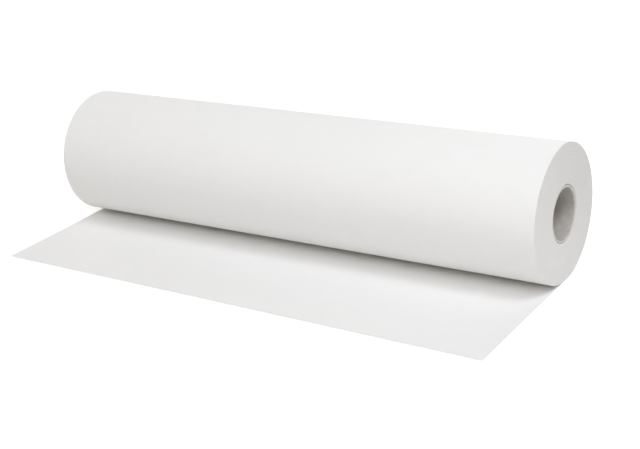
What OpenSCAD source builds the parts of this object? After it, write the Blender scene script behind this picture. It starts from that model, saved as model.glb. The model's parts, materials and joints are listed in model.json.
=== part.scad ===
// Exam table paper roll: a long web of white paper wound on a board core, lying on
// its side with the outer end of the web pulled out flat in front of it.
// X runs along the core, +Z is up, and the free sheet lies towards -Y.
// The origin is on the core's axis, half way along it.

/* [Roll] */
// Width of the paper web, and so the length of the roll
web_w = 500; // [300:5:700]
// Diameter over the outermost turn
roll_d = 119; // [90:1:160]
// How far the soft roll has settled onto its flat spot
flat_sag = 0.4; // [0.2:0.05:0.8]

/* [Paper] */
// Thickness of one layer of the paper
web_t = 0.1; // [0.08:0.01:0.3]
// How far the free sheet reaches out from under the roll's axis
sheet_reach = 151; // [100:1:250]
// How much further the sheet reaches at the +X edge than at the -X edge
front_skew = 8.5; // [0:0.5:12]

/* [Wound ends] */
// Turns that the spiral line on each end shows, each standing for many layers
turns_shown = 9; // [6:1:10]
// Width of the spiral line between two shown turns
line_w = 0.25; // [0.15:0.05:0.4]
// Depth of the spiral line
line_depth = 0.3; // [0.2:0.05:0.6]
// Plain band left inside the first shown turn and outside the last one
plain_band = 0.8; // [0.5:0.1:1.5]

/* [Core] */
// Inner diameter of the board core
core_id = 44; // [36:1:56]
// Wall of the board core
core_wall = 2; // [1:0.1:3]
// Radial gap between the core and the first turn of paper
core_gap = 0.2; // [0.05:0.05:0.3]
// How far each cut end of the core sits inside the wound end
core_inset = 0.4; // [0:0.1:2]
// Bevel where the cutting knife has rounded the core's edges
core_bevel = 0.3; // [0.1:0.05:0.4]

/* [Hidden] */
$fn = 128;

// A size in whole micrometres, so that arcs struck from two centres meet exactly
function whole_um(size) = round(1000 * size) / 1000;

roll_r = whole_um(roll_d / 2);
// Height of the surface that the roll lies on
floor_z = flat_sag - roll_r;
core_ir = core_id / 2;
core_or = core_ir + core_wall;
hole_r = whole_um(core_or + core_gap);
// The spiral line runs between these radii and gains one pitch in each full turn
line_in_r = hole_r + plain_band;
line_out_r = roll_r - plain_band;
line_pitch = 2 * whole_um((line_out_r - line_in_r) / turns_shown / 2);
half_layer = whole_um(web_t / 2);
// Past every edge of the roll, for shapes that only cut
past = 1;

// A cross-section drawn in Y and Z, carried along X about the middle of the roll
module along_core(length) {
    rotate([90, 0, 90])
        linear_extrude(height = length, center = true)
            children();
}

// The half of a cross-section on the back (+Y) or the front (-Y) of the axis
module half_of(back) {
    reach = roll_d + past;
    intersection() {
        children();
        translate([back ? 0 : -reach, -reach])
            square([reach, 2 * reach]);
    }
}

// A spiral that closes in by one step a turn, as two half circles: the back half is
// struck from the axis and the front half from a centre half a step above it, so
// that they join smoothly at the top and are one step apart at the bottom.
module front_centre(half_step) {
    translate([0, half_step])
        children();
}

module wound_section() {
    difference() {
        union() {
            half_of(back = true)
                circle(r = roll_r);
            half_of(back = false)
                front_centre(half_layer)
                    circle(r = roll_r - half_layer);
        }
        circle(r = hole_r);
        translate([-roll_d, floor_z - roll_d])
            square([2 * roll_d, roll_d]);
    }
}

module ring(r, width) {
    difference() {
        circle(r = r + width / 2);
        circle(r = r - width / 2);
    }
}

// The line between the shown turns, from the first turn outwards
module spiral_line() {
    for (turn = [1 : turns_shown]) {
        r = line_in_r + turn * line_pitch;
        half_of(back = true)
            ring(r, line_w);
        half_of(back = false)
            front_centre(line_pitch / 2)
                ring(r - line_pitch / 2, line_w);
    }
}

// The web's outer end: one layer on the floor, from under the roll to its cut edge
module free_sheet() {
    side = web_w / 2;
    translate([0, 0, floor_z])
        linear_extrude(height = web_t)
            polygon([
                [-side, 0],
                [side, 0],
                [side, -sheet_reach - front_skew / 2],
                [-side, -sheet_reach + front_skew / 2]
            ]);
}

module paper_web() {
    color("white") {
        difference() {
            along_core(web_w)
                wound_section();
            for (end = [-1, 1])
                translate([end * web_w / 2, 0, 0])
                    along_core(2 * line_depth)
                        spiral_line();
        }
        free_sheet();
    }
}

module core_tube() {
    half = web_w / 2 - core_inset;
    color("lightgray")
        rotate([0, 90, 0])
            rotate_extrude()
                polygon([
                    [core_ir, -half + core_bevel],
                    [core_ir + core_bevel, -half],
                    [core_or - core_bevel, -half],
                    [core_or, -half + core_bevel],
                    [core_or, half - core_bevel],
                    [core_or - core_bevel, half],
                    [core_ir + core_bevel, half],
                    [core_ir, half - core_bevel]
                ]);
}

paper_web();
core_tube();
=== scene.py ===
"""Exam table paper roll: a wide roll of white paper on a board core, lying on its
own free sheet.

X runs along the core, +Z is up and the free sheet lies towards -Y. Lengths are in
metres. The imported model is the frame: the sizes of the roll are read from it, and
what it doesn't hold is a property below.

A turn angle is measured about the core's axis, from straight down, by way of the
front (-Y) and over the top.
"""

import json
import math
from types import SimpleNamespace

import bpy
import numpy as np
from bpy.props import FloatProperty, FloatVectorProperty, IntProperty, PointerProperty
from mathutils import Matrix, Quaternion, Vector


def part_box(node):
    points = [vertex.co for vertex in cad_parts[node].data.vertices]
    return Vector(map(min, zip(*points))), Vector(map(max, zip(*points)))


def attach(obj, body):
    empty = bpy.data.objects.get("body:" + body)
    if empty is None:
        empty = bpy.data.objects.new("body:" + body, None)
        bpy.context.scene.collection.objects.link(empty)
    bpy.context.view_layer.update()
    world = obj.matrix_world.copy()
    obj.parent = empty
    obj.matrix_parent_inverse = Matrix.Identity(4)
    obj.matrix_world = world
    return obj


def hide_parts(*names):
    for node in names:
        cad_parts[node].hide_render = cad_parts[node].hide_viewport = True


bl_info = {
    "name": "Exam Table Paper Roll",
    "version": (1, 0, 0),
    "blender": (4, 5, 0),
    "location": "View3D > Sidebar > Paper Roll",
    "description": "Builds a wound paper web, its board core and a plain studio stage",
    "category": "Add Mesh",
}

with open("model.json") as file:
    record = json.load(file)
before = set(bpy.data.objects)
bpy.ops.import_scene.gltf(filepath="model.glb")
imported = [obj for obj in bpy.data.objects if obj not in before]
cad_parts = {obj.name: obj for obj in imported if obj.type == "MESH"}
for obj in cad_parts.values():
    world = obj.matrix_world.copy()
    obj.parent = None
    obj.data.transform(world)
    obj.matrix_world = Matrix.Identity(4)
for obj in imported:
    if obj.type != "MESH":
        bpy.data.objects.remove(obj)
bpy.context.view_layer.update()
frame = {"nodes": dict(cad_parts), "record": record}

MM = 0.001
HALF_TURN = math.pi
FULL_TURN = 2 * math.pi


# Sizes read from the frame


def tube_radius():
    """The core's outer radius: the distance from the axis of its farthest corner."""
    mesh = frame["nodes"]["core_tube"].data
    corners = np.empty(3 * len(mesh.vertices))
    mesh.vertices.foreach_get("co", corners)
    corners = corners.reshape(-1, 3)
    return float(np.hypot(corners[:, 1], corners[:, 2]).max())


def roll_sizes():
    """The sizes that the pieces share: the web's box gives the width, radius and floor."""
    low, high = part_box("paper_web")
    return SimpleNamespace(
        half=high.x,
        radius=high.z,
        floor=low.z,
        reach=-low.y,
        core_radius=tube_radius(),
        core_half=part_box("core_tube")[1].x,
    )


def bore_radius():
    """The radius of the core's bore, as the record's mount gives it."""
    mounts = {mount["name"]: mount for mount in frame["record"]["mounts"]}
    return mounts["core_bore"]["dims"]["r_mm"] * MM


# Properties that a user would change


class WebSettings(bpy.types.PropertyGroup):
    """The paper web: how it is wound, how it lies and what it looks like"""

    thickness: FloatProperty(
        name="Thickness",
        description="Thickness of one layer of the paper",
        default=0.1 * MM,
        unit="LENGTH",
        precision=5,
    )
    front_skew: FloatProperty(
        name="Front skew",
        description="How much further the sheet reaches at its +X edge",
        default=8.5 * MM,
        unit="LENGTH",
    )
    hole_gap: FloatProperty(
        name="Hole gap",
        description="Radial gap between the core and the first turn",
        default=0.2 * MM,
        unit="LENGTH",
        precision=5,
    )
    settle: FloatProperty(
        name="Settling",
        description="Height over which the soft roll rounds off onto its flat spot",
        default=0.2 * MM,
        unit="LENGTH",
        precision=5,
    )
    band_depth: FloatProperty(
        name="Band depth",
        description="Depth of the faint bands that uneven paper leaves round the roll",
        default=0.08 * MM,
        unit="LENGTH",
        precision=5,
    )
    sheet_lift: FloatProperty(
        name="Sheet lift",
        description="Height of the slack waves in the free sheet",
        default=0.5 * MM,
        unit="LENGTH",
        precision=5,
    )
    front_curl: FloatProperty(
        name="Front curl",
        description="How far the cut edge of the sheet curls up off the floor",
        default=0.5 * MM,
        unit="LENGTH",
        precision=5,
    )
    end_wander: FloatProperty(
        name="End wander",
        description="How far the turns stray in from the roll's true end",
        default=0.22 * MM,
        unit="LENGTH",
        precision=5,
    )
    start_depth: FloatProperty(
        name="Start depth",
        description="How much deeper the first turns, glued to the core, lie in each end",
        default=1.5 * MM,
        unit="LENGTH",
        precision=5,
    )
    turns_shown: IntProperty(
        name="Turns shown",
        description="Turns that the soft spiral valley on each end makes",
        default=9,
        min=1,
    )
    colour: FloatVectorProperty(
        name="Colour",
        description="Colour of the paper's face",
        default=(0.93, 0.922, 0.914),
        subtype="COLOR",
        min=0,
        max=1,
    )
    single_layer: FloatProperty(
        name="Single layer",
        description="Brightness of the free sheet, which light passes through, beside the wound roll's",
        default=0.98,
        min=0,
        max=1,
    )
    edge_colour: FloatVectorProperty(
        name="Edge colour",
        description="Colour of the slit edges of many layers together",
        default=(0.876, 0.861, 0.851),
        subtype="COLOR",
        min=0,
        max=1,
    )
    edge_lean: FloatProperty(
        name="Edge lean",
        description="Tangent of the lean that slitting gave every edge on the wound ends",
        default=0.105,
    )
    lean_turn: FloatProperty(
        name="Lean turn",
        description="Direction of the edges' lean, from straight outwards by way of their own turn",
        default=math.radians(-90),
        subtype="ANGLE",
    )


class CoreSettings(bpy.types.PropertyGroup):
    """The board core: its plies and its colours"""

    bevel: FloatProperty(
        name="Bevel",
        description="Bevel where the cutting knife has rounded the edges",
        default=0.3 * MM,
        unit="LENGTH",
        precision=5,
    )
    ply_turns: IntProperty(
        name="Ply turns",
        description="Turns that the inner ply's seam makes along the whole core",
        default=5,
        min=1,
    )
    seam_width: FloatProperty(
        name="Seam width",
        description="Width of the open seam of the inner ply",
        default=0.7 * MM,
        unit="LENGTH",
        precision=5,
    )
    ply: FloatProperty(
        name="Ply",
        description="Thickness of one ply of the board",
        default=0.5 * MM,
        unit="LENGTH",
        precision=5,
    )
    colour: FloatVectorProperty(
        name="Colour",
        description="Colour of the board where it is cut",
        default=(0.74, 0.72, 0.69),
        subtype="COLOR",
        min=0,
        max=1,
    )
    # The bore colour is the inner ply's grey board, made darker still as painted shade for the dim inside of
    # the bore.
    bore_colour_with_painted_shade: FloatVectorProperty(
        name="Bore colour",
        description="Colour of the inner ply",
        default=(0.55, 0.522, 0.495),
        subtype="COLOR",
        min=0,
        max=1,
    )


class StageSettings(bpy.types.PropertyGroup):
    """The plain floor, the soft lamps and the camera"""

    floor_colour: FloatVectorProperty(
        name="Floor colour",
        description="Colour of the plain floor",
        default=(0.88, 0.88, 0.88),
        subtype="COLOR",
        min=0,
        max=1,
    )
    camera_place: FloatVectorProperty(
        name="Camera place",
        description="Where the camera stands",
        default=(0.6521, -0.9251, 0.4066),
        subtype="XYZ_LENGTH",
    )
    camera_aim: FloatVectorProperty(
        name="Camera aim",
        description="The point that the camera looks at",
        default=(0.0070, 0.0, -0.0450),
        subtype="XYZ_LENGTH",
    )
    camera_roll: FloatProperty(
        name="Camera roll",
        description="Turn of the camera about its line of sight",
        default=math.radians(-5.28),
        subtype="ANGLE",
    )
    focal_length: FloatProperty(
        name="Focal length",
        description="Focal length in millimetres, for a sensor 36 mm wide",
        default=73.83,
    )
    near_glow: FloatProperty(
        name="Near glow",
        description="White that the floor adds to what the lamps show of it, at the roll",
        default=0.53,
    )
    far_glow: FloatProperty(
        name="Far glow",
        description="White that the floor adds to what the lamps show of it, well away from the roll",
        default=1.0,
    )
    world_level: FloatProperty(
        name="World level",
        description="Strength of the even light from all round",
        default=0.287,
    )
    warm_light: FloatVectorProperty(
        name="Warm light",
        description="Colour of the even light from all round and of the fill lamp",
        default=(1.0, 0.94, 0.82),
        subtype="COLOR",
        min=0,
        max=1,
    )
    cool_light: FloatVectorProperty(
        name="Cool light",
        description="Colour of the two strong lamps, at the front and the key",
        default=(0.884, 0.924, 1.0),
        subtype="COLOR",
        min=0,
        max=1,
    )
    front_power: FloatProperty(
        name="Front lamp",
        description="Power of the wide lamp at the front",
        default=17.6,
        unit="POWER",
    )
    key_power: FloatProperty(
        name="Key lamp",
        description="Power of the narrow lamp high on the right, towards the open end",
        default=20.7,
        unit="POWER",
    )
    fill_power: FloatProperty(
        name="Fill lamp",
        description="Power of the wide lamp low at the front right, which lights the crevice",
        default=6.2,
        unit="POWER",
    )
    back_power: FloatProperty(
        name="Back lamp",
        description="Power of the wide lamp low behind the roll",
        default=9.0,
        unit="POWER",
    )
    left_power: FloatProperty(
        name="Left lamp",
        description="Power of the wide lamp low on the left, which lights the other end",
        default=9.0,
        unit="POWER",
    )
    lamp_distance: FloatProperty(
        name="Lamp distance",
        description="Distance of every lamp from the roll's middle",
        default=2.4,
        unit="LENGTH",
    )
    wide_lamp: FloatProperty(
        name="Wide lamp",
        description="Width of the square soft box of every lamp but the key",
        default=1.4,
        unit="LENGTH",
    )
    narrow_lamp: FloatProperty(
        name="Narrow lamp",
        description="Width of the square soft box of the key lamp",
        default=0.7,
        unit="LENGTH",
    )


def settings():
    """The three groups of settings, which the scene carries."""
    scene = bpy.context.scene
    return scene.roll_web, scene.roll_core, scene.roll_stage


# Surfaces as grids of points


def patch(points, slot=0, flip=False):
    """A grid of points with the shape (rows, columns, 3), and its material's index.

    Its faces look along the cross product of the way down the rows and the way
    along the columns, or the other way if flip is true.
    """
    return SimpleNamespace(points=points, slot=slot, flip=flip)


def grid_quads(rows, columns, flip):
    """The four corners of every cell in a grid whose points are numbered row by row."""
    index = np.arange(rows * columns).reshape(rows, columns)
    corners = [index[:-1, :-1], index[1:, :-1], index[1:, 1:], index[:-1, 1:]]
    if flip:
        corners.reverse()
    return np.stack(corners, axis=-1).reshape(-1, 4)


def sewn_mesh(name, patches, materials, sharp_degrees):
    """One mesh from patches, merged where their borders hold the same points.

    Points are the same if they agree to a tenth of a micrometre. Edges that bend
    by more than sharp_degrees are shaded as sharp.
    """
    quads, slots, start = [], [], 0
    for item in patches:
        rows, columns = item.points.shape[:2]
        quads.append(start + grid_quads(rows, columns, item.flip))
        slots.append(np.full(len(quads[-1]), item.slot, dtype=np.int32))
        start += rows * columns
    points = np.concatenate([item.points.reshape(-1, 3) for item in patches])
    keys = np.round(points * 1e7).astype(np.int64)
    _, first, merged = np.unique(keys, axis=0, return_index=True, return_inverse=True)
    quads = merged.reshape(-1)[np.concatenate(quads)]

    mesh = bpy.data.meshes.new(name)
    mesh.from_pydata(points[first], [], quads)
    mesh.polygons.foreach_set("material_index", np.concatenate(slots))
    mesh.polygons.foreach_set("use_smooth", np.ones(len(quads), dtype=bool))
    mesh.update()
    mesh.set_sharp_from_angle(angle=math.radians(sharp_degrees))
    for material in materials:
        mesh.materials.append(material)
    piece = bpy.data.objects.new(name, mesh)
    bpy.context.scene.collection.objects.link(piece)
    return piece


def smooth_step(x):
    """0 below 0, 1 above 1 and, between them, three times x squared less twice x cubed."""
    x = np.clip(x, 0, 1)
    return x * x * (3 - 2 * x)


def slack_waves(x, spacing, seed):
    """A smooth wandering line from -1 to 1.

    It is a random height for each spacing along x, joined by half cosine waves.
    """
    heights = np.random.default_rng(seed).uniform(-1, 1, 4096)
    place = x / spacing + 2048
    cell = np.floor(place).astype(int)
    share = (1 - np.cos(HALF_TURN * (place - cell))) / 2
    return heights[cell] * (1 - share) + heights[cell + 1] * share


# The paper web


def soft_floor(z, floor, settle):
    """z where it is well above the floor, and the floor where it would be well below it.

    Between those, a parabola meets both smoothly.
    """
    above = z - floor
    blend = floor + (above + settle) ** 2 / (4 * settle)
    return np.where(above > settle, z, np.where(above < -settle, floor, blend))


def turn_angles(start, end):
    """Turn angles from the crevice all the way round to below it, closest near the floor."""
    near = math.radians(12)
    floor_steps, round_steps = 8, 136
    return np.concatenate([
        np.linspace(start, near, floor_steps, endpoint=False),
        np.linspace(near, FULL_TURN - near, round_steps, endpoint=False),
        np.linspace(FULL_TURN - near, end, floor_steps + 1),
    ])


def outer_turn(web, size):
    """The outermost turn's section: its y and z, all the way round from the crevice.

    The back half is a circle about the axis. The front half is struck half a
    layer higher with a radius half a layer smaller, so that the turn comes in by
    one layer and lands on the free sheet. Both halves settle softly.
    """
    half_layer = web.thickness / 2
    front_radius = size.radius - half_layer
    sheet_top = size.floor + web.thickness
    start = math.acos((half_layer - sheet_top + web.settle) / front_radius)
    crevice = -front_radius * math.sin(start)
    end = FULL_TURN + math.asin(-crevice / size.radius)
    angle = turn_angles(start, end)
    front = angle <= HALF_TURN
    radius = np.where(front, front_radius, size.radius)
    lift = np.where(front, half_layer, 0)
    ground = np.where(front, sheet_top, size.floor)
    y = -radius * np.sin(angle)
    y[-1] = y[0]
    z = soft_floor(lift - radius * np.cos(angle), ground, web.settle)
    return y, z


def gauge_bands(x, depth):
    """How far the surface sinks at x, where thin lanes of the web have wound up smaller."""
    wide = slack_waves(x, 42 * MM, seed=11)
    narrow = slack_waves(x, 13 * MM, seed=12)
    return depth * (0.5 + 0.35 * wide + 0.15 * narrow)


def wound_side(web, size):
    """The outside of the roll: the outer turn's section carried from end to end.

    The faint bands fade out near the floor, where the roll's weight presses them flat.
    """
    y, z = outer_turn(web, size)
    x = np.linspace(-size.half, size.half, 141)
    fade = 6 * MM
    clear = smooth_step((z - size.floor) / fade)
    sink = 1 - clear[:, None] * gauge_bands(x, web.band_depth) / size.radius
    x = np.broadcast_to(x, sink.shape)
    return np.stack([x, y[:, None] * sink, z[:, None] * sink], axis=-1)


def sheet_lift(web, x, share):
    """How far the free sheet stands off the floor. share runs from 0 at the crevice to 1 at the cut edge.

    Slack waves grow from nothing beside the roll, and the last part curls up
    towards the cut edge, more at some places along it than at others.
    """
    waves = 0.5 + 0.3 * slack_waves(x, 55 * MM, seed=21)
    waves = waves + 0.2 * slack_waves(x + 0.16 * share, 90 * MM, seed=22)
    waves_start, waves_span, curl_start = 0.08, 0.55, 0.62
    grown = smooth_step((share - waves_start) / waves_span)
    uneven = 0.6 + 0.4 * slack_waves(x, 120 * MM, seed=23)
    curl = smooth_step((share - curl_start) / (1 - curl_start)) * uneven
    return web.sheet_lift * grown * waves + web.front_curl * curl


def free_sheet(web, size, crevice):
    """The free sheet's upper and lower faces, from the points in the crevice to the cut edge."""
    share = np.linspace(0, 1, 41)[:, None]
    x = crevice[:, 0]
    middle_reach = size.reach - web.front_skew / 2
    cut = -middle_reach - web.front_skew * x / (2 * size.half)
    y = crevice[:, 1] + (cut - crevice[:, 1]) * share
    x = np.broadcast_to(x, y.shape)
    low = size.floor + sheet_lift(web, x, share)
    upper = np.stack([x, y, low + web.thickness], axis=-1)
    lower = np.stack([x, y, low], axis=-1)
    return upper, lower


def spiral_valley(web, size, radius, angle, hole):
    """A mask of 1 along a line that winds out across the wound end and 0 away from it.

    The line keeps its radius over the back half and comes in by one pitch down
    the front half, as a spiral of two half circles does.
    """
    band, valley_width = 0.8 * MM, 0.28 * MM
    pitch = (size.radius - hole - 2 * band) / web.turns_shown
    front = np.where(angle < HALF_TURN, (1 + np.cos(angle)) / 2, 0)
    turn = (radius - hole - band) / pitch + front
    away = (turn - np.round(turn)) * pitch
    inside = smooth_step((radius - hole) / band) * smooth_step((size.radius - radius) / band)
    return np.exp(-((away / valley_width) ** 2)) * inside


def end_inset(web, size, radius, angle, hole, side):
    """How far a point of the wound end lies in from the roll's true end.

    The turns wander slowly in and out, neighbours differ a little more sharply,
    and a soft valley follows the spiral. A slight lean makes the rings uneven
    from one side of the core to the other, and the first turns lie deeper.
    """
    seed = 40 if side > 0 else 60
    off_centre = 0.35 * MM
    across = radius + off_centre * np.cos(angle - 0.7 * side)
    slow = slack_waves(across, 5.5 * MM, seed)
    turns = slack_waves(across, 0.9 * MM, seed + 1)
    layers = slack_waves(across, 0.36 * MM, seed + 2)
    lean = 0.12 * np.cos(angle - 2.0 * side)
    stray = 0.5 + 0.26 * slow + 0.13 * turns + 0.08 * layers + lean * slow
    valley = 0.45 * spiral_valley(web, size, radius, angle, hole)
    start_width, start_slope = 0.35 * MM, 0.2 * MM
    past_start = smooth_step((radius - hole - start_width) / start_slope)
    return web.end_wander * (stray + valley) + web.start_depth * (1 - past_start)


def wound_end(web, size, rim, hole, side):
    """One wound end: rings of points from the hole to the rim, closer together near the hole."""
    y, z = rim[:, 1], rim[:, 2]
    outer = np.hypot(y, z)
    near = 0.02
    share = np.concatenate([np.linspace(0, near, 12, endpoint=False), np.linspace(near, 1, 180)])
    radius = hole + (outer[:, None] - hole) * share
    turn = np.arctan2(-y, -z)[:, None] % FULL_TURN
    inset = end_inset(web, size, radius, turn, hole, side)
    x = side * (size.half - inset)
    return np.stack([x, radius * (y / outer)[:, None], radius * (z / outer)[:, None]], axis=-1)


def web_patches(web, size):
    """Every face of the web.

    They are the wound side, both wound ends, the hole, and the free sheet with
    its slit and cut edges. The first and last turn angles lie one above the other
    in the crevice, where the sheet joins, and short strips close the ends and the
    hole between them.
    """
    hole = size.core_radius + web.hole_gap
    side = wound_side(web, size)
    right = wound_end(web, size, side[:, -1], hole, 1)
    left = wound_end(web, size, side[:, 0], hole, -1)
    side[:, 0] = left[:, -1]
    side[:, -1] = right[:, -1]
    upper, lower = free_sheet(web, size, side[0])
    upper[0] = side[0]
    lower[0] = side[-1]
    hole_side = np.stack([left[:, 0], right[:, 0]], axis=1)
    left_strip, right_strip, hole_strip = (
        np.stack([part[-1], part[0]]) for part in (left, right, hole_side)
    )
    cut_edge = np.stack([upper[-1], lower[-1]])
    slit_left = np.stack([upper[:, 0], lower[:, 0]])
    slit_right = np.stack([upper[:, -1], lower[:, -1]])
    face, edges, single = 0, 1, 2
    return [
        patch(side, face, flip=True),
        patch(upper, single),
        patch(lower, single, flip=True),
        patch(right, edges),
        patch(left, edges, flip=True),
        patch(hole_side, face),
        patch(left_strip, edges, flip=True),
        patch(right_strip, edges),
        patch(hole_strip, face),
        patch(cut_edge, edges),
        patch(slit_left, edges),
        patch(slit_right, edges, flip=True),
    ]


# The core


def seam_depth(core, angle):
    """How deep the inner ply's open seam cuts the wall, at an angle from the seam's middle."""
    away = np.abs((angle + HALF_TURN) % FULL_TURN - HALF_TURN) * bore_radius()
    return 0.3 * core.ply * (1 - smooth_step(away / core.seam_width * 4 - 1))


def seam_angles(core):
    """Angles once round the core, closer together where the seam runs."""
    near = core.seam_width / bore_radius()
    fine = np.linspace(-near, near, 17)
    coarse = np.linspace(near, FULL_TURN - near, 97)
    return np.concatenate([fine, coarse[1:]])[None, :]


def around(x, radius, angle):
    """Points at a distance from the X axis, turned from the +Y direction towards +Z."""
    x, radius, angle = np.broadcast_arrays(x, radius, angle)
    return np.stack([x, radius * np.cos(angle), radius * np.sin(angle)], axis=-1)


def cut_end(core, size, angle, side):
    """A knife-cut end, from the bore to the outer wall, at angles from the seam's middle.

    Between two bevels, the cut face has a fine line between each two plies, and
    a little fray.
    """
    inner, outer, half = bore_radius(), size.core_radius, size.core_half
    place = angle + side * core.ply_turns * HALF_TURN
    slope = np.linspace(0, 1, 4)[:, None]
    in_radius = inner + core.bevel * slope + seam_depth(core, angle) * (1 - slope)
    in_bevel = around(side * (half - core.bevel * (1 - slope)), in_radius, place)
    out_radius = outer - core.bevel * (1 - slope)
    out_bevel = around(side * (half - core.bevel * slope), out_radius, place)
    share = np.linspace(0, 1, 33)[:, None]
    radius = inner + core.bevel + (outer - inner - 2 * core.bevel) * share
    line = smooth_step((np.cos(FULL_TURN * (radius - inner) / core.ply) - 0.6) / 0.4)
    tuft, line_depth, fray_depth = 0.7 * MM, 0.06, 0.05
    across = slack_waves(radius * np.cos(place), tuft, seed=71)
    fray = 0.5 + 0.5 * across * slack_waves(radius * np.sin(place), tuft, seed=72)
    inside = smooth_step(4 * share) * smooth_step(4 - 4 * share)
    inset = inside * (line_depth * line + fray_depth * fray) * MM
    face = around(side * (half - inset), radius, place)
    return np.concatenate([in_bevel, face[1:-1], out_bevel])


def core_patches(core, size):
    """Every face of the core: the bore, along which the seam winds, two cut ends and a plain outer wall.

    The seam makes a whole number of turns, so the lines of points along the outer
    wall, which join the two ends, are straight. The inner ply's colour is darker
    than the other plies': partly the board's own grey and partly painted shade
    for the dim bore. It shows at the cut ends too.
    """
    angle = seam_angles(core)
    ends = {side: cut_end(core, size, angle, side) for side in (-1, 1)}
    reach = size.core_half - core.bevel
    along = np.linspace(-1, 1, 333)[:, None]
    wind = angle + core.ply_turns * HALF_TURN * along
    bore = around(reach * along, bore_radius() + seam_depth(core, angle), wind)
    bore[0], bore[-1] = ends[-1][0], ends[1][0]
    outer_wall = np.stack([ends[-1][-1], ends[1][-1]])
    radius = np.hypot(ends[1][:, 0, 1], ends[1][:, 0, 2])
    ply_edge = int(np.searchsorted(radius, bore_radius() + core.ply))
    # The inside slot carries the bore colour, which holds painted shade as well as the board's own grey.
    inside, cut = 0, 1
    return [
        patch(bore, inside),
        patch(ends[1][: ply_edge + 1], inside),
        patch(ends[1][ply_edge:], cut),
        patch(ends[-1][: ply_edge + 1], inside, flip=True),
        patch(ends[-1][ply_edge:], cut, flip=True),
        patch(outer_wall, inside, flip=True),
    ]


# Shared effects as node groups


def add_node(tree, kind, values=None, **facts):
    """A node of that kind. facts are its own attributes, and values its unlinked inputs."""
    made = tree.nodes.new("ShaderNode" + kind)
    for name, fact in facts.items():
        setattr(made, name, fact)
    for name, value in (values or {}).items():
        made.inputs[name].default_value = value
    return made


def add_math(tree, operation, first, second=None, clamp=False):
    """The output of a Math node. first and second are numbers or the outputs of nodes."""
    made = add_node(tree, "Math", operation=operation, use_clamp=clamp)
    for socket, value in zip(made.inputs, (first, second)):
        if isinstance(value, bpy.types.NodeSocket):
            tree.links.new(value, socket)
        elif value is not None:
            socket.default_value = value
    return made.outputs[0]


def add_mix(tree, share, first, second):
    """The output of a colour Mix node from first to second, which are colours, by share."""
    made = add_node(tree, "Mix", data_type="RGBA")
    tree.links.new(share, made.inputs["Factor"])
    colours = [socket for socket in made.inputs if socket.type == "RGBA"]
    for socket, colour in zip(colours, (first, second)):
        socket.default_value = (*colour, 1)
    return next(socket for socket in made.outputs if socket.type == "RGBA")


def new_group(name, inputs, outputs):
    """An empty shader node group with those sockets, and its input and output nodes.

    Each socket is a name and a type, and an input may give a default too.
    """
    tree = bpy.data.node_groups.new(name, "ShaderNodeTree")
    for label, kind, *default in inputs:
        socket = tree.interface.new_socket(label, in_out="INPUT", socket_type=kind)
        if default:
            socket.default_value = default[0]
    for label, kind in outputs:
        tree.interface.new_socket(label, in_out="OUTPUT", socket_type=kind)
    return tree, tree.nodes.new("NodeGroupInput"), tree.nodes.new("NodeGroupOutput")


def fibre_group():
    """Felted fibres: a fine crossing texture over slow clouds of thicker and thinner felt."""
    tree, source, result = new_group(
        "Felted fibres",
        [
            ("Vector", "NodeSocketVector"),
            ("Fibre scale", "NodeSocketFloat", 900.0),
            ("Cloud scale", "NodeSocketFloat", 110.0),
        ],
        [("Height", "NodeSocketFloat"), ("Clouds", "NodeSocketFloat")],
    )
    fibres = add_node(tree, "TexNoise", {"Detail": 3.0, "Roughness": 0.6, "Distortion": 1.2})
    clouds = add_node(tree, "TexNoise", {"Detail": 2.0, "Roughness": 0.5})
    for texture, scale in ((fibres, "Fibre scale"), (clouds, "Cloud scale")):
        tree.links.new(source.outputs["Vector"], texture.inputs["Vector"])
        tree.links.new(source.outputs[scale], texture.inputs["Scale"])
    height = add_math(tree, "MULTIPLY_ADD", clouds.outputs[0], 0.5)
    tree.links.new(fibres.outputs[0], height.node.inputs[2])
    tree.links.new(height, result.inputs["Height"])
    tree.links.new(clouds.outputs[0], result.inputs["Clouds"])
    return tree


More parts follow.
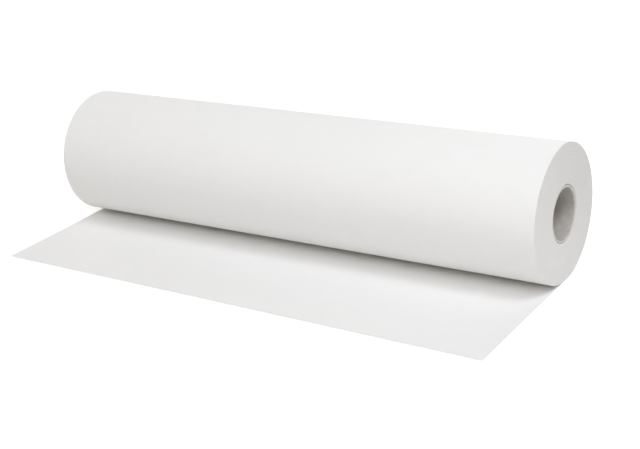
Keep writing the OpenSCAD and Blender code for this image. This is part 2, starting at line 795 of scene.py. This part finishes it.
def turn_group():
    """Turns seen edge on: lines that wind out by one pitch a turn, each of its own height and shade.

    Normal is the surface's own normal, leant over in a direction that keeps its
    angle to the turns all the way round.
    """
    tree, source, result = new_group(
        "Turns on edge",
        [
            ("Vector", "NodeSocketVector"),
            ("Normal", "NodeSocketVector"),
            ("Pitch", "NodeSocketFloat", 0.0004),
            ("Lean", "NodeSocketFloat", 0.0),
            ("Lean turn", "NodeSocketFloat", 0.0),
        ],
        [
            ("Height", "NodeSocketFloat"),
            ("Shade", "NodeSocketFloat"),
            ("Normal", "NodeSocketVector"),
        ],
    )
    parts = add_node(tree, "SeparateXYZ")
    tree.links.new(source.outputs["Vector"], parts.inputs["Vector"])
    y, z = parts.outputs["Y"], parts.outputs["Z"]
    squares = add_math(tree, "MULTIPLY", y, y)
    total = add_math(tree, "MULTIPLY_ADD", z, z)
    tree.links.new(squares, total.node.inputs[2])
    radius = add_math(tree, "SQRT", total)
    turn = add_math(tree, "DIVIDE", add_math(tree, "ARCTAN2", z, y), FULL_TURN)
    count = add_math(tree, "DIVIDE", radius, source.outputs["Pitch"])
    phase = add_math(tree, "ADD", count, turn)
    line = add_math(tree, "COSINE", add_math(tree, "MULTIPLY", phase, FULL_TURN))
    uneven = add_node(tree, "TexNoise", {"Scale": 0.37, "Detail": 3.0}, noise_dimensions="1D")
    tree.links.new(count, uneven.inputs["W"])
    height = add_math(tree, "MULTIPLY_ADD", line, 0.25)
    tree.links.new(uneven.outputs[0], height.node.inputs[2])
    tree.links.new(height, result.inputs["Height"])
    tree.links.new(uneven.outputs[0], result.inputs["Shade"])
    outwards = add_node(tree, "CombineXYZ")
    tree.links.new(y, outwards.inputs["Y"])
    tree.links.new(z, outwards.inputs["Z"])
    unit = add_node(tree, "VectorMath", operation="NORMALIZE")
    tree.links.new(outwards.outputs[0], unit.inputs[0])
    leaning = add_node(tree, "VectorRotate", rotation_type="X_AXIS")
    tree.links.new(unit.outputs[0], leaning.inputs["Vector"])
    tree.links.new(source.outputs["Lean turn"], leaning.inputs["Angle"])
    scaled = add_node(tree, "VectorMath", operation="SCALE")
    tree.links.new(leaning.outputs[0], scaled.inputs[0])
    tree.links.new(source.outputs["Lean"], scaled.inputs["Scale"])
    tilted = add_node(tree, "VectorMath", operation="ADD")
    tree.links.new(source.outputs["Normal"], tilted.inputs[0])
    tree.links.new(scaled.outputs[0], tilted.inputs[1])
    normal = add_node(tree, "VectorMath", operation="NORMALIZE")
    tree.links.new(tilted.outputs[0], normal.inputs[0])
    tree.links.new(normal.outputs[0], result.inputs["Normal"])
    return tree


def shared_group(name, maker):
    """The node group of that name, made the first time that it is asked for."""
    return bpy.data.node_groups.get(name) or maker()


# Materials


def new_material(name):
    """A material with only a Principled shader, its node tree and that shader."""
    material = bpy.data.materials.new(name)
    material.use_nodes = True
    tree = material.node_tree
    tree.nodes.clear()
    output = add_node(tree, "OutputMaterial")
    shader = add_node(tree, "BsdfPrincipled")
    tree.links.new(shader.outputs["BSDF"], output.inputs["Surface"])
    return material, tree, shader


def place_group(tree, name, maker, values):
    """A shared group in a material, reading Object coordinates."""
    made = add_node(tree, "Group", node_tree=shared_group(name, maker))
    for label, value in values.items():
        made.inputs[label].default_value = value
    where = add_node(tree, "TexCoord")
    tree.links.new(where.outputs["Object"], made.inputs["Vector"])
    return made


def add_bump(tree, shader, height, distance):
    """A Bump node of that height, in metres, which feeds the shader's normal."""
    bump = add_node(tree, "Bump", {"Strength": 1.0, "Distance": distance})
    tree.links.new(height, bump.inputs["Height"])
    tree.links.new(bump.outputs["Normal"], shader.inputs["Normal"])
    return bump


def tint(colour, share):
    """A colour multiplied by share."""
    return tuple(channel * share for channel in colour)


def paper_face_material(name, paper_colour):
    """Smooth white paper, seen on its face."""
    material, tree, shader = new_material(name)
    fibre = place_group(tree, "Felted fibres", fibre_group, {"Fibre scale": 1100.0})
    share = add_math(tree, "SUBTRACT", fibre.outputs["Clouds"], 0.15, clamp=True)
    colour = add_mix(tree, share, tint(paper_colour, 0.985), tint(paper_colour, 1.012))
    tree.links.new(colour, shader.inputs["Base Color"])
    shader.inputs["Roughness"].default_value = 0.6
    shader.inputs["Specular IOR Level"].default_value = 0.3
    add_bump(tree, shader, fibre.outputs["Height"], 0.02 * MM)
    return material


def paper_edge_material(web):
    """The slit edges of many layers, seen on the wound ends."""
    material, tree, shader = new_material("paper_slit_edge")
    values = {"Pitch": 4 * web.thickness, "Lean": web.edge_lean, "Lean turn": web.lean_turn}
    turns = place_group(tree, "Turns on edge", turn_group, values)
    surface = add_node(tree, "NewGeometry")
    tree.links.new(surface.outputs["Normal"], turns.inputs["Normal"])
    share = add_math(tree, "MULTIPLY_ADD", turns.outputs["Shade"], 1.6, clamp=True)
    share.node.inputs[2].default_value = -0.3
    colour = add_mix(tree, share, tint(web.edge_colour, 0.94), tint(web.edge_colour, 0.98))
    tree.links.new(colour, shader.inputs["Base Color"])
    shader.inputs["Roughness"].default_value = 0.85
    shader.inputs["Specular IOR Level"].default_value = 0.2
    bump = add_bump(tree, shader, turns.outputs["Height"], 0.03 * MM)
    tree.links.new(turns.outputs["Normal"], bump.inputs["Normal"])
    return material


def board_material(name, colour, scale):
    """Grey board made of felted waste paper, with darker flecks."""
    material, tree, shader = new_material(name)
    fibre = place_group(tree, "Felted fibres", fibre_group, {"Fibre scale": scale, "Cloud scale": 220.0})
    flecks = add_math(tree, "MULTIPLY_ADD", fibre.outputs["Clouds"], 2.6, clamp=True)
    flecks.node.inputs[2].default_value = -0.75
    tree.links.new(add_mix(tree, flecks, tint(colour, 0.9), tint(colour, 1.04)), shader.inputs["Base Color"])
    shader.inputs["Roughness"].default_value = 0.9
    shader.inputs["Specular IOR Level"].default_value = 0.2
    add_bump(tree, shader, fibre.outputs["Height"], 0.05 * MM)
    return material


# The stage


def seen_directly(tree):
    """1 for rays from the camera, and for reflections of and views through to what they meet."""
    path = add_node(tree, "LightPath")
    most = add_math(tree, "MAXIMUM", path.outputs["Is Camera Ray"], path.outputs["Is Glossy Ray"])
    return add_math(tree, "MAXIMUM", most, path.outputs["Is Transmission Ray"])


def make_floor(stage, size):
    """A plain floor that the lamps light and shade, and that looks close to white."""
    reach, gap = 8, 0.02 * MM
    corners = [(-reach, -reach), (reach, -reach), (reach, reach), (-reach, reach)]
    level = size.floor - gap
    mesh = bpy.data.meshes.new("floor")
    mesh.from_pydata([(x, y, level) for x, y in corners], [], [(0, 1, 2, 3)])
    material, tree, shader = new_material("floor")
    shader.inputs["Base Color"].default_value = (*stage.floor_colour, 1)
    shader.inputs["Roughness"].default_value = 0.9
    shader.inputs["Specular IOR Level"].default_value = 0.0
    shader.inputs["Emission Color"].default_value = (1, 1, 1, 1)
    where = add_node(tree, "TexCoord")
    distance = add_node(tree, "VectorMath", operation="LENGTH")
    tree.links.new(where.outputs["Object"], distance.inputs[0])
    glow = add_node(tree, "MapRange", interpolation_type="SMOOTHSTEP")
    tree.links.new(distance.outputs["Value"], glow.inputs["Value"])
    near, far = 0.3, 3.5
    limits = {"From Min": near, "From Max": far, "To Min": stage.near_glow, "To Max": stage.far_glow}
    for label, value in limits.items():
        glow.inputs[label].default_value = value
    shown = add_math(tree, "MULTIPLY", seen_directly(tree), glow.outputs["Result"])
    tree.links.new(shown, shader.inputs["Emission Strength"])
    mesh.materials.append(material)
    floor = bpy.data.objects.new("floor", mesh)
    bpy.context.scene.collection.objects.link(floor)


def make_world(stage):
    """Even light from all round, behind which the backdrop is plain white."""
    world = bpy.data.worlds.new("studio")
    world.use_nodes = True
    tree = world.node_tree
    tree.nodes.clear()
    light = add_node(tree, "Background", {"Strength": stage.world_level})
    light.inputs["Color"].default_value = (*stage.warm_light, 1)
    white = add_node(tree, "Background", {"Color": (1, 1, 1, 1), "Strength": 1.0})
    mix = add_node(tree, "MixShader")
    output = add_node(tree, "OutputWorld")
    tree.links.new(seen_directly(tree), mix.inputs["Fac"])
    tree.links.new(light.outputs[0], mix.inputs[1])
    tree.links.new(white.outputs[0], mix.inputs[2])
    tree.links.new(mix.outputs[0], output.inputs["Surface"])
    bpy.context.scene.world = world


def make_lamp(stage, name, azimuth, elevation, width, power, colour=(1, 1, 1)):
    """A square soft lamp that faces the roll. azimuth turns it from the front (-Y) to the right (+X)."""
    data = bpy.data.lights.new(name, "AREA")
    data.shape = "SQUARE"
    data.size = width
    data.energy = power
    data.color = colour
    lamp = bpy.data.objects.new(name, data)
    round_angle, height_angle = math.radians(azimuth), math.radians(elevation)
    away = math.cos(height_angle)
    direction = (away * math.sin(round_angle), -away * math.cos(round_angle), math.sin(height_angle))
    lamp.location = Vector(direction) * stage.lamp_distance
    lamp.rotation_mode = "QUATERNION"
    lamp.rotation_quaternion = (-lamp.location).to_track_quat("-Z", "Y")
    bpy.context.scene.collection.objects.link(lamp)


def make_camera(stage):
    """The camera at the photograph's viewing angle."""
    data = bpy.data.cameras.new("camera")
    data.sensor_width = 36
    data.lens = stage.focal_length
    camera = bpy.data.objects.new("camera", data)
    camera.location = stage.camera_place
    sight = Vector(stage.camera_aim) - Vector(stage.camera_place)
    turn = Quaternion((0, 0, 1), stage.camera_roll)
    camera.rotation_mode = "QUATERNION"
    camera.rotation_quaternion = sight.to_track_quat("-Z", "Y") @ turn
    bpy.context.scene.collection.objects.link(camera)
    bpy.context.scene.camera = camera


# Operators and the panel


class ROLL_OT_paper_web(bpy.types.Operator):
    """Build the wound paper web with its free sheet"""

    bl_idname = "roll.paper_web"
    bl_label = "Paper web"

    def execute(self, context):
        web = settings()[0]
        materials = [
            paper_face_material("paper_face", web.colour),
            paper_edge_material(web),
            paper_face_material("paper_single", tint(web.colour, web.single_layer)),
        ]
        piece = sewn_mesh("wound_web", web_patches(web, roll_sizes()), materials, 40)
        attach(piece, "root")
        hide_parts("paper_web")
        return {"FINISHED"}


class ROLL_OT_core_tube(bpy.types.Operator):
    """Build the board core with its ply seam and cut ends"""

    bl_idname = "roll.core_tube"
    bl_label = "Board core"

    def execute(self, context):
        core = settings()[1]
        materials = [
            # The inside board's colour holds painted shade: it is darker than the board's own grey so that
            # the bore looks dim.
            board_material("board_inside_painted_shade", core.bore_colour_with_painted_shade, 700.0),
            board_material("board_cut", core.colour, 1500.0),
        ]
        piece = sewn_mesh("board_core", core_patches(core, roll_sizes()), materials, 50)
        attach(piece, "root")
        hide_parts("core_tube")
        return {"FINISHED"}


class ROLL_OT_stage(bpy.types.Operator):
    """Set up the plain floor, the soft lamps and the camera"""

    bl_idname = "roll.stage"
    bl_label = "Stage"

    def execute(self, context):
        stage = settings()[2]
        make_floor(stage, roll_sizes())
        make_world(stage)
        wide, narrow = stage.wide_lamp, stage.narrow_lamp
        make_lamp(stage, "front_lamp", 20, 50, wide, stage.front_power, stage.cool_light)
        make_lamp(stage, "key_lamp", 74, 58, narrow, stage.key_power, stage.cool_light)
        make_lamp(stage, "fill_lamp", 40, 30, wide, stage.fill_power, stage.warm_light)
        make_lamp(stage, "back_lamp", 185, 25, wide, stage.back_power)
        make_lamp(stage, "left_lamp", -105, 14, wide, stage.left_power)
        make_camera(stage)
        context.scene.view_settings.view_transform = "Standard"
        return {"FINISHED"}


class ROLL_PT_sidebar(bpy.types.Panel):
    """The steps that build the roll, with their settings"""

    bl_label = "Paper Roll"
    bl_space_type = "VIEW_3D"
    bl_region_type = "UI"
    bl_category = "Paper Roll"

    def draw(self, context):
        steps = (ROLL_OT_paper_web, ROLL_OT_core_tube, ROLL_OT_stage)
        for step, group in zip(steps, settings()):
            box = self.layout.box()
            box.operator(step.bl_idname)
            for label in group.__annotations__:
                box.prop(group, label)


CLASSES = (
    WebSettings,
    CoreSettings,
    StageSettings,
    ROLL_OT_paper_web,
    ROLL_OT_core_tube,
    ROLL_OT_stage,
    ROLL_PT_sidebar,
)


def register():
    for item in CLASSES:
        bpy.utils.register_class(item)
    bpy.types.Scene.roll_web = PointerProperty(type=WebSettings)
    bpy.types.Scene.roll_core = PointerProperty(type=CoreSettings)
    bpy.types.Scene.roll_stage = PointerProperty(type=StageSettings)


def unregister():
    del bpy.types.Scene.roll_stage
    del bpy.types.Scene.roll_core
    del bpy.types.Scene.roll_web
    for item in reversed(CLASSES):
        bpy.utils.unregister_class(item)


def main():
    """Register the add-on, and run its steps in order."""
    register()
    bpy.ops.roll.paper_web()
    bpy.ops.roll.core_tube()
    bpy.ops.roll.stage()


if __name__ == "__main__":
    main()
